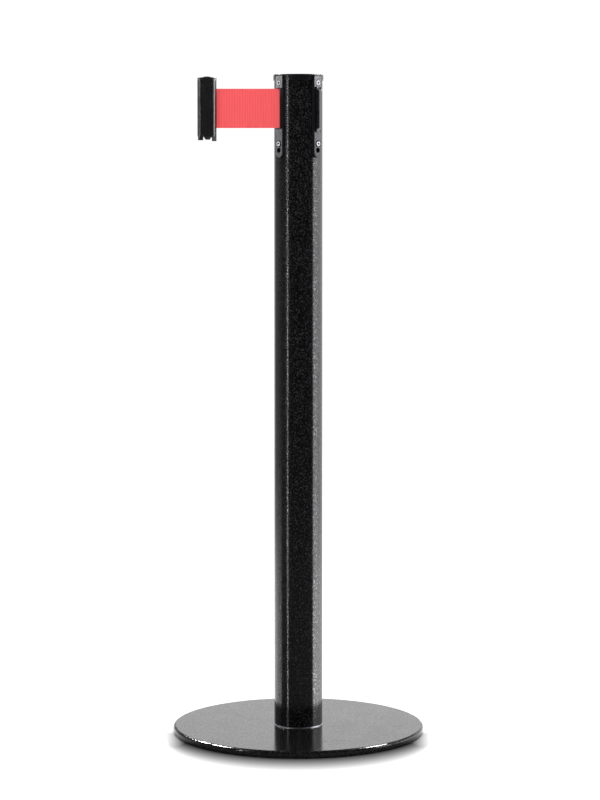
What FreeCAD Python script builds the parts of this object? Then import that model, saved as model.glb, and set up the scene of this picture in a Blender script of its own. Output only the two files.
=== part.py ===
import FreeCAD, Part
import math
import os
import Sketcher

# Retractable belt stanchion, in millimetres. The origin is on the post's axis at floor level and +Z is up.
# The front is -Y. The belt leaves the head at its front-left corner and runs towards -X.

DRIVING_SIZES = {
    # base
    "base_radius": 165.0,
    "cover_wall": 1.5,
    "cover_top": 9.5,
    "cover_edge_round": 3.0,
    "cover_rim_low": 1.0,
    "weight_radius": 161.5,
    "weight_low": 1.0,
    "weight_chamfer": 3.0,
    "ring_inner_radius": 148.0,
    "ring_outer_radius": 160.0,
    "ring_thickness": 2.0,
    "bolt_radius": 5.9,
    "bolt_hole_radius": 6.5,
    "bolt_head_radius": 12.0,
    "bolt_head_thickness": 3.0,
    "bolt_top": 20.5,
    "hex_key_width": 8.0,
    "hex_key_depth": 2.0,
    "washer_radius": 14.0,
    "washer_thickness": 1.2,
    "bolt_recess_radius": 18.0,
    "foot_plate_thickness": 12.0,
    "foot_flange_radius": 31.9,
    "foot_flange_thickness": 0.9,
    "thread_radius": 6.0,
    # post
    "tube_radius": 31.75,
    "tube_wall": 1.5,
    "tube_top": 857.0,
    "tube_foot_chamfer": 1.0,
    "fit_gap": 0.05,
    "press_gap": 0.02,
    "seat_gap": 0.1,
    # corner plates
    "plate_inner": 27.0,
    "plate_face": 36.0,
    "plate_half_width": 6.0,
    "plate_low": 756.7,
    "plate_top": 863.2,
    "plate_edge_chamfer": 0.5,
    "notch_gap": 0.1,
    "face_recess": 0.6,
    "upper_screw_height": 853.4,
    "lower_screw_height": 774.6,
    "spare_hole_height": 766.2,
    "spare_hole_radius": 3.5,
    "spare_hole_depth": 5.0,
    "screw_radius": 1.45,
    "screw_hole_radius": 1.6,
    "screw_tip": 18.0,
    "screw_bore_extra": 0.5,
    "screw_head_radius": 3.0,
    "screw_head_thickness": 1.6,
    "cross_width": 1.8,
    "cross_length": 3.6,
    "cross_depth": 0.9,
    "upper_bore_radius": 3.5,
    "upper_bore_depth": 1.0,
    "lower_bore_radius": 4.5,
    "lower_bore_depth": 0.6,
    # receiver rails
    "rail_low": 789.8,
    "rail_top": 848.2,
    "rail_crest_low": 794.9,
    "rail_crest_top": 844.1,
    "rail_neck_half": 3.0,
    "rail_flange_half": 4.8,
    "rail_seat": 34.0,
    "rail_flange_inner": 38.0,
    "rail_crest": 40.2,
    "rail_crown_radius": 8.5,
    # belt and its outlet
    "belt_low": 794.95,
    "belt_width": 51.0,
    "belt_thickness": 0.5,
    "belt_line": -22.9,
    "window_half_width": 5.1,
    "window_gap": 0.9,
    "guide_pin_radius": 2.0,
    "guide_pin_socket": 2.8,
    "front_pin_out": 33.5,
    "front_pin_across": 2.12,
    "rear_pin_out": 31.7,
    "rear_pin_across": -2.9,
    "belt_leave_radius": 20.25,
    "belt_bend_x": -21.5,
    "belt_bend_radius": 8.0,
    # cap
    "cap_radius": 32.8,
    "cap_top": 865.0,
    "cap_edge_round": 1.5,
    "lobe_radius": 36.6,
    "lobe_top": 864.7,
    "spigot_inner": 12.0,
    "spigot_outer": 15.0,
    "spigot_low": 852.0,
    "spigot_groove_extra": 0.2,
    # cassette
    "cassette_radius": 30.0,
    "cassette_low": 759.0,
    "block_top": 780.5,
    "lid_low": 849.0,
    "lid_pocket_radius": 8.0,
    "lid_pocket_low": 853.0,
    "pillar_inner": 25.2,
    "pillar_half_width": 12.0,
    "axle_radius": 3.0,
    "axle_low": 762.0,
    "axle_top": 855.5,
    "ring_groove_radius": 2.5,
    "retaining_ring_radius": 6.0,
    "retaining_ring_thickness": 0.7,
    "ring_mouth_half": 2.0,
    # spool and mainspring
    "hub_radius": 10.0,
    "flange_radius": 23.5,
    "flange_thickness": 1.5,
    "lower_flange_low": 792.9,
    "upper_flange_low": 846.5,
    "arbor_radius": 7.0,
    "arbor_low": 782.6,
    "bush_radius": 5.0,
    "bush_flange_radius": 6.5,
    "bush_flange_thickness": 0.8,
    "bush_length": 10.0,
    "running_gap": 0.05,
    "coil_radius": 19.7,
    "anchor_pin_radius": 1.5,
    "anchor_pin_offset": 7.9,
    "cup_radius": 24.5,
    "cup_wall": 1.2,
    "cup_floor": 1.0,
    "cup_top": 790.6,
    "cup_lid_thickness": 1.0,
    "cup_clearance": 0.4,
    "spring_low": 782.3,
    "spring_width": 8.0,
    "spring_thickness": 0.4,
    "spring_start_radius": 7.3,
    "spring_turns": 9.0,
    "spring_pitch": 1.72,
    # belt end clip, about its own vertical centre line
    "clip_centre": -118.4,
    "clip_low": 784.4,
    "clip_body_top": 857.3,
    "clip_top": 860.3,
    "clip_front": 12.55,
    "clip_front_half": 8.2,
    "clip_front_round": 5.8,
    "clip_groove_front": -6.6,
    "clip_groove_back": -6.0,
    "clip_groove_half": 7.4,
    "clip_barrel_radius": 8.5,
    "clip_barrel_centre": 4.0,
    "front_foot_front": 11.7,
    "front_foot_back": -4.9,
    "front_foot_half": 7.4,
    "front_foot_round": 3.0,
    "channel_lip": 1.7,
    "channel_slot_half": 3.5,
    "channel_half": 5.5,
    "channel_back": -7.95,
    "channel_top": 849.5,
    "chamber_front": -3.5,
    "chamber_half": 5.5,
    "belt_slot_half": 0.6,
    "clamp_pin_radius": 1.5,
    "front_foot_low": 779.2,
    "plug_depth": 3.0,
    "socket_end": 0.5,
    "middle_foot_low": 779.9,
    "middle_foot_half": 5.0,
    "middle_foot_front": -1.7,
    "middle_foot_back": 3.8,
    "middle_foot_shoulder": -4.4,
    "middle_foot_shoulder_low": 783.5,
    "foot_gap_front": 4.6,
    "foot_gap_top": 782.7,
    "rear_foot_low": 778.0,
    "rear_foot_front": 6.5,
    "rear_foot_inset": 0.2,
    "dome_radius": 7.4,
    "dome_height": 1.6,
    "hem_length": 5.0,
}

OUTLET_ANGLE = 225.0
RECEIVERS = {"front_right": 315.0, "rear_right": 45.0, "rear_left": 135.0}
ALL_ANGLES = [45.0, 135.0, 225.0, 315.0]
QUARTERS = [0.0, 90.0, 180.0, 270.0]
ORIGIN = FreeCAD.Vector(0, 0, 0)
UP = FreeCAD.Vector(0, 0, 1)
UPRIGHT = FreeCAD.Rotation()
ALONG_X = FreeCAD.Rotation(FreeCAD.Vector(0, 1, 0), 90)
VERTICAL_AXIS = -2
HORIZONTAL_AXIS = -1
OVERRUN = 1.0
TOUCHING = 0.01
NEARLY_UPRIGHT = 0.99

doc = FreeCAD.newDocument("belt_stanchion")
sheet = doc.addObject("Spreadsheet::Sheet", "Sizes")


class Size:
    """A length that carries its sheet formula along with its number."""

    def __init__(self, formula, value):
        self.formula = formula
        self.value = value

    def combine(self, sign, other, value):
        return Size("(%s %s %s)" % (self.formula, sign, as_size(other).formula), value)

    def __add__(self, other):
        return self.combine("+", other, self.value + number(other))

    def __sub__(self, other):
        return self.combine("-", other, self.value - number(other))

    def __mul__(self, other):
        return self.combine("*", other, self.value * number(other))

    def __truediv__(self, other):
        return self.combine("/", other, self.value / number(other))

    def __radd__(self, other):
        return as_size(other) + self

    def __rsub__(self, other):
        return as_size(other) - self

    def __rmul__(self, other):
        return as_size(other) * self

    def __neg__(self):
        return as_size(0.0) - self


def as_size(item):
    if isinstance(item, Size):
        return item
    return Size("%.4f" % item, float(item))


def number(item):
    return as_size(item).value


class Named:
    """The sheet's cells as Size attributes."""


def fill_sheet():
    sizes = Named()
    for row, (alias, value) in enumerate(DRIVING_SIZES.items(), start=1):
        sheet.set("A%d" % row, alias)
        sheet.set("B%d" % row, str(value))
        sheet.setAlias("B%d" % row, alias)
        setattr(sizes, alias, Size("Sizes." + alias, value))
    doc.recompute()
    return sizes


d = fill_sheet()


# ---- small builders -------------------------------------------------------------------------------

def bind(item, path, size):
    """Drive one property from the sheet."""
    item.setExpression(path, as_size(size).formula)


def put(item, across, back, height, rotation=UPRIGHT):
    """Place an object, with each coordinate driven by the sheet."""
    base = FreeCAD.Vector(number(across), number(back), number(height))
    item.Placement = FreeCAD.Placement(base, rotation)
    for letter, size in (("x", across), ("y", back), ("z", height)):
        if isinstance(size, Size):
            bind(item, "Placement.Base." + letter, size)


def turned(item, angle):
    """An object turned about the post's axis, inside a group if it already has a place of its own."""
    if not item.Placement.isIdentity():
        item = group(item.Name + "_turned", [item])
    item.Placement = FreeCAD.Placement(ORIGIN, FreeCAD.Rotation(UP, angle))
    return item


def cylinder(name, radius, low, high, across=0.0, back=0.0):
    item = doc.addObject("Part::Cylinder", name)
    bind(item, "Radius", radius)
    bind(item, "Height", as_size(high) - low)
    put(item, across, back, low)
    return item


def rod(name, radius, start, end, height):
    """A cylinder along X, from start to end."""
    item = doc.addObject("Part::Cylinder", name)
    bind(item, "Radius", radius)
    bind(item, "Height", as_size(end) - start)
    put(item, start, 0.0, height, ALONG_X)
    return item


def block(name, x_range, y_range, z_range):
    item = doc.addObject("Part::Box", name)
    bind(item, "Length", as_size(x_range[1]) - x_range[0])
    bind(item, "Width", as_size(y_range[1]) - y_range[0])
    bind(item, "Height", as_size(z_range[1]) - z_range[0])
    put(item, x_range[0], y_range[0], z_range[0])
    return item


def fuse(name, items):
    item = doc.addObject("Part::MultiFuse", name)
    item.Shapes = items
    item.Refine = True
    return item


def common(name, items):
    item = doc.addObject("Part::MultiCommon", name)
    item.Shapes = items
    item.Refine = True
    return item


def cut(name, base, tools):
    item = doc.addObject("Part::Cut", name)
    item.Base = base
    item.Tool = tools[0]
    if len(tools) > 1:
        item.Tool = fuse(name + "_tools", tools)
    item.Refine = True
    return item


def group(name, items):
    item = doc.addObject("Part::Compound", name)
    item.Links = items
    return item


def new_body(name):
    body = doc.addObject("PartDesign::Body", name)
    return body


def new_sketch(body, plane, name, offset=0.0):
    """A sketch on one of the body's own origin planes, moved out along the plane's normal."""
    sketch = body.newObject("Sketcher::SketchObject", name)
    support = [feature for feature in body.Origin.OriginFeatures if feature.Role == plane][0]
    sketch.AttachmentSupport = [(support, "")]
    sketch.MapMode = "FlatFace"
    sketch.AttachmentOffset = FreeCAD.Placement(FreeCAD.Vector(0, 0, number(offset)), UPRIGHT)
    if isinstance(offset, Size):
        bind(sketch, "AttachmentOffset.Base.z", offset)
    return sketch


def hold_coordinate(sketch, geometry, point, kind, size, axis):
    """Fix one coordinate of a sketch point, on the axis where it is zero and by a driven size elsewhere."""
    if number(size) == 0.0:
        sketch.addConstraint(Sketcher.Constraint("PointOnObject", geometry, point, axis))
        return
    index = sketch.addConstraint(Sketcher.Constraint(kind, geometry, point, number(size)))
    if isinstance(size, Size):
        bind(sketch, "Constraints[%d]" % index, size)


def draw_outline(sketch, points):
    """A closed outline of straight lines whose corners are driven by the sheet."""
    first = sketch.GeometryCount
    count = len(points)
    corners = [FreeCAD.Vector(number(across), number(up), 0) for across, up in points]
    lines = [Part.LineSegment(corners[index], corners[(index + 1) % count]) for index in range(count)]
    sketch.addGeometry(lines, False)
    joins = []
    for index in range(count):
        following = (index + 1) % count
        joins.append(Sketcher.Constraint("Coincident", first + index, 2, first + following, 1))
    sketch.addConstraint(joins)
    for index, (across, up) in enumerate(points):
        hold_coordinate(sketch, first + index, 1, "DistanceX", across, VERTICAL_AXIS)
        hold_coordinate(sketch, first + index, 1, "DistanceY", up, HORIZONTAL_AXIS)


def draw_circle(sketch, across, up, radius):
    centre = FreeCAD.Vector(number(across), number(up), 0)
    geometry = sketch.addGeometry(Part.Circle(centre, UP, number(radius)), False)
    hold_coordinate(sketch, geometry, 3, "DistanceX", across, VERTICAL_AXIS)
    hold_coordinate(sketch, geometry, 3, "DistanceY", up, HORIZONTAL_AXIS)
    index = sketch.addConstraint(Sketcher.Constraint("Radius", geometry, number(radius)))
    bind(sketch, "Constraints[%d]" % index, radius)


def rectangle(low_across, high_across, low_up, high_up):
    return [(low_across, low_up), (high_across, low_up), (high_across, high_up), (low_across, high_up)]


def lathe(name, points):
    """A body turned about Z from a closed outline of (radius, height) corners."""
    body = new_body(name)
    sketch = new_sketch(body, "XZ_Plane", name + "_profile")
    draw_outline(sketch, points)
    turn = body.newObject("PartDesign::Revolution", name + "_turn")
    turn.Profile = sketch
    turn.ReferenceAxis = (sketch, ["V_Axis"])
    turn.Angle = 360.0
    return body


def pad(body, sketch, name, length):
    feature = body.newObject("PartDesign::Pad", name)
    feature.Profile = sketch
    bind(feature, "Length", length)
    return feature


def pocket(body, sketch, name, depth):
    feature = body.newObject("PartDesign::Pocket", name)
    feature.Profile = sketch
    bind(feature, "Length", depth)
    return feature


def round_edges(body, name, radius, chosen, kind="PartDesign::Fillet", path="Radius"):
    """Fillet or chamfer the edges of the body's tip that the function `chosen` accepts."""
    doc.recompute()
    tip = body.Tip
    names = ["Edge%d" % index for index, edge in enumerate(tip.Shape.Edges, start=1) if chosen(edge)]
    feature = body.newObject(kind, name)
    feature.Base = (tip, names)
    bind(feature, path, radius)
    return feature


def circle_at(radius, height):
    """A test for the full circle of one radius at one height about the post's axis."""
    def chosen(edge):
        if not isinstance(edge.Curve, Part.Circle):
            return False
        level = abs(edge.Curve.Center.z - number(height)) < TOUCHING
        return level and abs(edge.Curve.Radius - number(radius)) < TOUCHING
    return chosen


# ---- base -----------------------------------------------------------------------------------------

def base_cover():
    inside = d.cover_top - d.cover_wall
    body = lathe("base_cover", [
        (d.bolt_hole_radius, inside),
        (d.base_radius - d.cover_wall, inside),
        (d.base_radius - d.cover_wall, d.cover_rim_low),
        (d.base_radius, d.cover_rim_low),
        (d.base_radius, d.cover_top),
        (d.bolt_hole_radius, d.cover_top),
    ])
    round_edges(body, "cover_outer_round", d.cover_edge_round, circle_at(d.base_radius, d.cover_top))
    inner_edge = circle_at(d.base_radius - d.cover_wall, inside)
    round_edges(body, "cover_inner_round", d.cover_edge_round - d.cover_wall, inner_edge)
    return body


def base_weight():
    top = d.cover_top - d.cover_wall
    recess_top = d.weight_low + d.bolt_head_thickness + d.washer_thickness
    return lathe("base_weight", [
        (d.bolt_hole_radius, recess_top),
        (d.bolt_recess_radius, recess_top),
        (d.bolt_recess_radius, d.weight_low),
        (d.ring_inner_radius, d.weight_low),
        (d.ring_inner_radius, d.ring_thickness),
        (d.ring_outer_radius, d.ring_thickness),
        (d.ring_outer_radius, d.weight_low),
        (d.weight_radius, d.weight_low),
        (d.weight_radius, top - d.weight_chamfer),
        (d.weight_radius - d.weight_chamfer, top),
        (d.bolt_hole_radius, top),
    ])


def floor_ring():
    return lathe("floor_ring", rectangle(d.ring_inner_radius, d.ring_outer_radius, 0.0, d.ring_thickness))


def base_washer():
    low = d.weight_low + d.bolt_head_thickness
    return lathe("base_washer", rectangle(d.bolt_hole_radius, d.washer_radius, low, low + d.washer_thickness))


def base_bolt():
    head_top = d.weight_low + d.bolt_head_thickness
    head = cylinder("bolt_head", d.bolt_head_radius, d.weight_low, head_top)
    shank = cylinder("bolt_shank", d.bolt_radius, d.weight_low, d.bolt_top)
    socket = doc.addObject("Part::Prism", "bolt_hex_socket")
    socket.Polygon = 6
    bind(socket, "Circumradius", d.hex_key_width / math.sqrt(3.0))
    bind(socket, "Height", d.hex_key_depth)
    put(socket, 0.0, 0.0, d.weight_low)
    return cut("base_bolt", fuse("bolt_blank", [head, shank]), [socket])


def tube_foot_plate():
    radius = d.tube_radius - d.tube_wall - d.fit_gap
    top = d.cover_top + d.foot_plate_thickness
    flange_top = d.cover_top + d.foot_flange_thickness
    return lathe("tube_foot_plate", [
        (d.thread_radius, d.cover_top),
        (d.foot_flange_radius, d.cover_top),
        (d.foot_flange_radius, flange_top),
        (radius, flange_top),
        (radius, top),
        (d.thread_radius, top),
    ])


# ---- post -----------------------------------------------------------------------------------------

def post_tube():
    inner = d.tube_radius - d.tube_wall
    foot = d.cover_top + d.foot_flange_thickness
    wall = lathe("tube_wall_turned", [
        (inner, foot),
        (d.tube_radius - d.tube_foot_chamfer, foot),
        (d.tube_radius, foot + d.tube_foot_chamfer),
        (d.tube_radius, d.tube_top),
        (inner, d.tube_top),
    ])
    half = d.plate_half_width + d.notch_gap
    centre = d.plate_low + d.plate_half_width
    notches = []
    for angle in ALL_ANGLES:
        name = "tube_notch_%d" % angle
        sides = block(name + "_sides", (d.plate_inner, d.plate_face), (-half, half), (centre, d.cap_top))
        end = rod(name + "_end", half, d.plate_inner, d.plate_face, centre)
        notches.append(turned(fuse(name, [sides, end]), angle))
    return cut("post_tube", wall, notches)


# ---- corner plates --------------------------------------------------------------------------------

def corner_plate(name, angle, low, high):
    """The plate that every corner shares, built along +X: two screws, a spare hole and a round end.

    Its face is recessed between the heights `low` and `high`.
    """
    body = new_body(name)
    centre = d.plate_low + d.plate_half_width
    depth = d.plate_face - d.plate_inner
    sides = new_sketch(body, "YZ_Plane", name + "_sides", d.plate_inner)
    draw_outline(sides, rectangle(-d.plate_half_width, d.plate_half_width, centre, d.plate_top))
    pad(body, sides, name + "_sides_pad", depth)
    end = new_sketch(body, "YZ_Plane", name + "_end", d.plate_inner)
    draw_circle(end, 0.0, centre, d.plate_half_width)
    pad(body, end, name + "_end_pad", depth)

    def on_face(edge):
        return all(abs(vertex.X - number(d.plate_face)) < TOUCHING for vertex in edge.Vertexes)
    round_edges(body, name + "_chamfer", d.plate_edge_chamfer, on_face, "PartDesign::Chamfer", "Size")
    recess = new_sketch(body, "YZ_Plane", name + "_recess", d.plate_face)
    wide = d.plate_half_width + OVERRUN
    draw_outline(recess, rectangle(-wide, wide, low, high))
    pocket(body, recess, name + "_recess_pocket", d.face_recess)
    holes = [
        ("upper_hole", d.upper_screw_height, d.screw_hole_radius, depth),
        ("upper_bore", d.upper_screw_height, d.upper_bore_radius, d.upper_bore_depth),
        ("lower_hole", d.lower_screw_height, d.screw_hole_radius, depth),
        ("lower_bore", d.lower_screw_height, d.lower_bore_radius, d.lower_bore_depth),
        ("spare_hole", d.spare_hole_height, d.spare_hole_radius, d.spare_hole_depth),
    ]
    for hole, height, radius, length in holes:
        sketch = new_sketch(body, "YZ_Plane", name + "_" + hole, d.plate_face)
        draw_circle(sketch, 0.0, height, radius)
        pocket(body, sketch, name + "_" + hole + "_pocket", length)
    return turned(body, angle)


def receiver_plate(place, angle):
    """A corner plate with a slot that seats the receiver rail."""
    name = "receiver_plate_" + place
    body = corner_plate(name, angle, d.rail_low - d.fit_gap, d.rail_top + d.fit_gap)
    half = d.rail_neck_half + d.fit_gap
    slot = new_sketch(body, "YZ_Plane", name + "_slot", d.plate_face)
    draw_outline(slot, rectangle(-half, half, d.rail_low - d.fit_gap, d.rail_top + d.fit_gap))
    pocket(body, slot, name + "_slot_pocket", d.plate_face - d.rail_seat + d.fit_gap)
    return body


def receiver_rail(place, angle):
    """A T section that another stanchion's belt end drops onto, with sloped ends and a crowned front."""
    name = "receiver_rail_" + place
    section = new_body(name + "_section")
    sketch = new_sketch(section, "XY_Plane", name + "_section_outline", d.rail_low)
    draw_outline(sketch, [
        (d.rail_seat, -d.rail_neck_half),
        (d.rail_flange_inner, -d.rail_neck_half),
        (d.rail_flange_inner, -d.rail_flange_half),
        (d.rail_crest, -d.rail_flange_half),
        (d.rail_crest, d.rail_flange_half),
        (d.rail_flange_inner, d.rail_flange_half),
        (d.rail_flange_inner, d.rail_neck_half),
        (d.rail_seat, d.rail_neck_half),
    ])
    pad(section, sketch, name + "_section_pad", d.rail_top - d.rail_low)
    crown_centre = d.rail_crest - d.rail_crown_radius
    crown = cylinder(name + "_crown", d.rail_crown_radius, d.rail_low, d.rail_top, crown_centre)
    slopes = new_body(name + "_slopes")
    side = new_sketch(slopes, "XZ_Plane", name + "_side_outline", -d.rail_flange_half)
    draw_outline(side, [
        (d.rail_seat, d.rail_low),
        (d.plate_face, d.rail_low),
        (d.rail_crest, d.rail_crest_low),
        (d.rail_crest, d.rail_crest_top),
        (d.plate_face, d.rail_top),
        (d.rail_seat, d.rail_top),
    ])
    pad(slopes, side, name + "_side_pad", 2.0 * d.rail_flange_half)
    return turned(common(name, [section, crown, slopes]), angle)


def belt_outlet_plate():
    """A corner plate with a window for the belt and sockets for the two guide pins."""
    name = "belt_outlet_plate"
    low = d.belt_low - d.window_gap
    high = d.belt_low + d.belt_width + d.window_gap
    body = corner_plate(name, OUTLET_ANGLE, low, high)
    window = new_sketch(body, "YZ_Plane", name + "_window", d.plate_face)
    draw_outline(window, rectangle(-d.window_half_width, d.window_half_width, low, high))
    pocket(body, window, name + "_window_pocket", d.plate_face - d.plate_inner)
    sockets = new_sketch(body, "XY_Plane", name + "_sockets", high + d.guide_pin_socket)
    draw_circle(sockets, d.front_pin_out, d.front_pin_across, d.guide_pin_radius + d.fit_gap)
    draw_circle(sockets, d.rear_pin_out, d.rear_pin_across, d.guide_pin_radius + d.fit_gap)
    pocket(body, sockets, name + "_sockets_pocket", high - low + 2.0 * d.guide_pin_socket)
    return body


def guide_pin(name, out, across):
    low = d.belt_low - d.window_gap - d.guide_pin_socket + d.fit_gap
    high = d.belt_low + d.belt_width + d.window_gap + d.guide_pin_socket - d.fit_gap
    pin = cylinder(name + "_bar", d.guide_pin_radius, low, high, out, across)
    return turned(group(name, [pin]), OUTLET_ANGLE)


def plate_screw(name, angle, height, seat):
    """One cross-recess pan-head screw, driven inwards, with its head resting at radius `seat`."""
    face = seat + d.screw_head_thickness
    head = rod(name + "_head", d.screw_head_radius, seat, face, height)
    shank = rod(name + "_shank", d.screw_radius, d.screw_tip, face, height)
    deep = (face - d.cross_depth, face + OVERRUN)
    half_long = d.cross_length / 2.0
    half_wide = d.cross_width / 2.0
    across = block(name + "_cross_a", deep, (-half_long, half_long), (height - half_wide, height + half_wide))
    upright = block(name + "_cross_b", deep, (-half_wide, half_wide), (height - half_long, height + half_long))
    return turned(cut(name, fuse(name + "_blank", [head, shank]), [across, upright]), angle)


def plate_screws(name, height, bore_depth):
    seat = d.plate_face - bore_depth
    screws = [plate_screw("%s_%d" % (name, angle), angle, height, seat) for angle in ALL_ANGLES]
    return group(name, screws)


# ---- cap and cassette -----------------------------------------------------------------------------

def corner_slots(name, outer, low, high):
    """Four blocks that clear the corner plates."""
    half = d.plate_half_width + d.notch_gap
    inner = d.plate_inner - d.notch_gap
    return [turned(block("%s_%d" % (name, angle), (inner, outer), (-half, half), (low, high)), angle)
            for angle in ALL_ANGLES]


def head_cap():
    disc = lathe("cap_disc", [
        (0.0, d.tube_top),
        (d.spigot_inner, d.tube_top),
        (d.spigot_inner, d.spigot_low),
        (d.spigot_outer, d.spigot_low),
        (d.spigot_outer, d.tube_top),
        (d.cap_radius, d.tube_top),
        (d.cap_radius, d.cap_top),
        (0.0, d.cap_top),
    ])
    round_edges(disc, "cap_edge_fillet", d.cap_edge_round, circle_at(d.cap_radius, d.cap_top))
    half = d.plate_half_width + 2.0 * d.notch_gap
    lobes = []
    for angle in ALL_ANGLES:
        lobe = block("cap_lobe_%d" % angle, (d.plate_inner, d.lobe_radius), (-half, half),
                     (d.plate_top, d.lobe_top))
        lobes.append(turned(lobe, angle))
    whole = fuse("cap_with_lobes", [disc] + lobes)
    low = d.tube_top - OVERRUN
    return cut("head_cap", whole, corner_slots("cap_slot", d.lobe_radius + OVERRUN, low, d.plate_top))


def screw_bores(name, height):
    return [turned(rod("%s_%d" % (name, angle), d.screw_radius + d.fit_gap, d.screw_tip - d.screw_bore_extra,
                       d.cassette_radius, height), angle) for angle in ALL_ANGLES]


def cassette_lid():
    groove_low = d.spigot_low - d.spigot_groove_extra
    disc = lathe("lid_disc", [
        (d.axle_radius + d.fit_gap, d.lid_low),
        (d.cassette_radius, d.lid_low),
        (d.cassette_radius, d.tube_top),
        (d.spigot_outer + d.seat_gap, d.tube_top),
        (d.spigot_outer + d.seat_gap, groove_low),
        (d.spigot_inner - d.seat_gap, groove_low),
        (d.spigot_inner - d.seat_gap, d.tube_top),
        (d.lid_pocket_radius, d.tube_top),
        (d.lid_pocket_radius, d.lid_pocket_low),
        (d.axle_radius + d.fit_gap, d.lid_pocket_low),
    ])
    slots = corner_slots("lid_slot", d.cassette_radius + OVERRUN, d.lid_low - OVERRUN, d.cap_top)
    return cut("cassette_lid", disc, slots + screw_bores("lid_bore", d.upper_screw_height))


def cassette_body():
    """The lower block with its four pillars, moulded in one piece."""
    bore = d.axle_radius + d.fit_gap
    base = lathe("cassette_block", [
        (0.0, d.cassette_low),
        (d.cassette_radius, d.cassette_low),
        (d.cassette_radius, d.block_top),
        (bore, d.block_top),
        (bore, d.axle_low),
        (0.0, d.axle_low),
    ])
    bars = []
    for angle in QUARTERS:
        bar = block("pillar_bar_%d" % angle, (d.pillar_inner, d.cassette_radius),
                    (-d.pillar_half_width, d.pillar_half_width), (d.block_top - OVERRUN, d.lid_low))
        bars.append(turned(bar, angle))
    envelope = cylinder("pillar_envelope", d.cassette_radius, d.cassette_low, d.lid_low)
    pillars = common("pillars", [fuse("pillar_bars", bars), envelope])
    whole = fuse("cassette_blank", [base, pillars])
    low = d.cassette_low - OVERRUN
    slots = corner_slots("block_slot", d.cassette_radius + OVERRUN, low, d.block_top + OVERRUN)
    return cut("cassette_body", whole, slots + screw_bores("block_bore", d.lower_screw_height))


def spool_axle():
    ring_low = d.lid_pocket_low
    ring_high = ring_low + d.retaining_ring_thickness + d.fit_gap
    return lathe("spool_axle", [
        (0.0, d.axle_low),
        (d.axle_radius, d.axle_low),
        (d.axle_radius, ring_low),
        (d.ring_groove_radius, ring_low),
        (d.ring_groove_radius, ring_high),
        (d.axle_radius, ring_high),
        (d.axle_radius, d.axle_top),
        (0.0, d.axle_top),
    ])


def axle_retaining_ring():
    low = d.lid_pocket_low
    high = low + d.retaining_ring_thickness
    outer = d.retaining_ring_radius
    ring = lathe("ring_disc", rectangle(d.ring_groove_radius + d.fit_gap, outer, low, high))
    mouth_half = d.ring_mouth_half
    mouth = block("ring_mouth", (0.0, outer + OVERRUN), (-mouth_half, mouth_half),
                  (low - OVERRUN, high + OVERRUN))
    return cut("axle_retaining_ring", ring, [mouth])


# ---- spool and mainspring -------------------------------------------------------------------------

def spool():
    bore = d.bush_radius + d.fit_gap
    lower_top = d.lower_flange_low + d.flange_thickness
    upper_top = d.upper_flange_low + d.flange_thickness
    turned_spool = lathe("spool_turned", [
        (bore, d.arbor_low),
        (d.arbor_radius, d.arbor_low),
        (d.arbor_radius, d.lower_flange_low),
        (d.flange_radius, d.lower_flange_low),
        (d.flange_radius, lower_top),
        (d.hub_radius, lower_top),
        (d.hub_radius, d.upper_flange_low),
        (d.flange_radius, d.upper_flange_low),
        (d.flange_radius, upper_top),
        (bore, upper_top),
    ])
    seat = cylinder("anchor_seat", d.anchor_pin_radius + d.seat_gap, lower_top, d.upper_flange_low,
                    d.anchor_pin_offset)
    slot = block("anchor_slot", (d.anchor_pin_offset, d.hub_radius + OVERRUN), (-d.belt_slot_half, d.belt_slot_half),
                 (lower_top, d.upper_flange_low))
    return cut("spool", turned_spool, [seat, slot])


def bush(name, flange_low, sleeve_low):
    """A flanged bush that runs on the axle, pushed into one end of the spool."""
    flange = cylinder(name + "_flange", d.bush_flange_radius, flange_low, flange_low + d.bush_flange_thickness)
    sleeve = cylinder(name + "_sleeve", d.bush_radius, sleeve_low, sleeve_low + d.bush_length)
    bore = cylinder(name + "_bore", d.axle_radius + d.running_gap, d.arbor_low - d.bush_length, d.cap_top)
    return cut(name, fuse(name + "_blank", [flange, sleeve]), [bore])


def spring_cup():
    floor_top = d.block_top + d.cup_floor
    wall_inner = d.cup_radius - d.cup_wall
    return lathe("spring_cup", [
        (d.axle_radius + d.cup_clearance, d.block_top),
        (d.cup_radius, d.block_top),
        (d.cup_radius, d.cup_top),
        (wall_inner, d.cup_top),
        (wall_inner, floor_top),
        (d.axle_radius + d.cup_clearance, floor_top),
    ])


def spring_cup_lid():
    top = d.cup_top + d.cup_lid_thickness
    return lathe("spring_cup_lid", rectangle(d.arbor_radius + d.cup_clearance, d.cup_radius, d.cup_top, top))


def point_on(centre, radius, angle):
    x = centre.x + radius * math.cos(angle)
    y = centre.y + radius * math.sin(angle)
    return FreeCAD.Vector(x, y, centre.z)


def arc_edge(centre, radius, start, end):
    middle = (start + end) / 2.0
    points = [point_on(centre, radius, angle) for angle in (start, middle, end)]
    return Part.Arc(*points).toShape()


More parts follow.
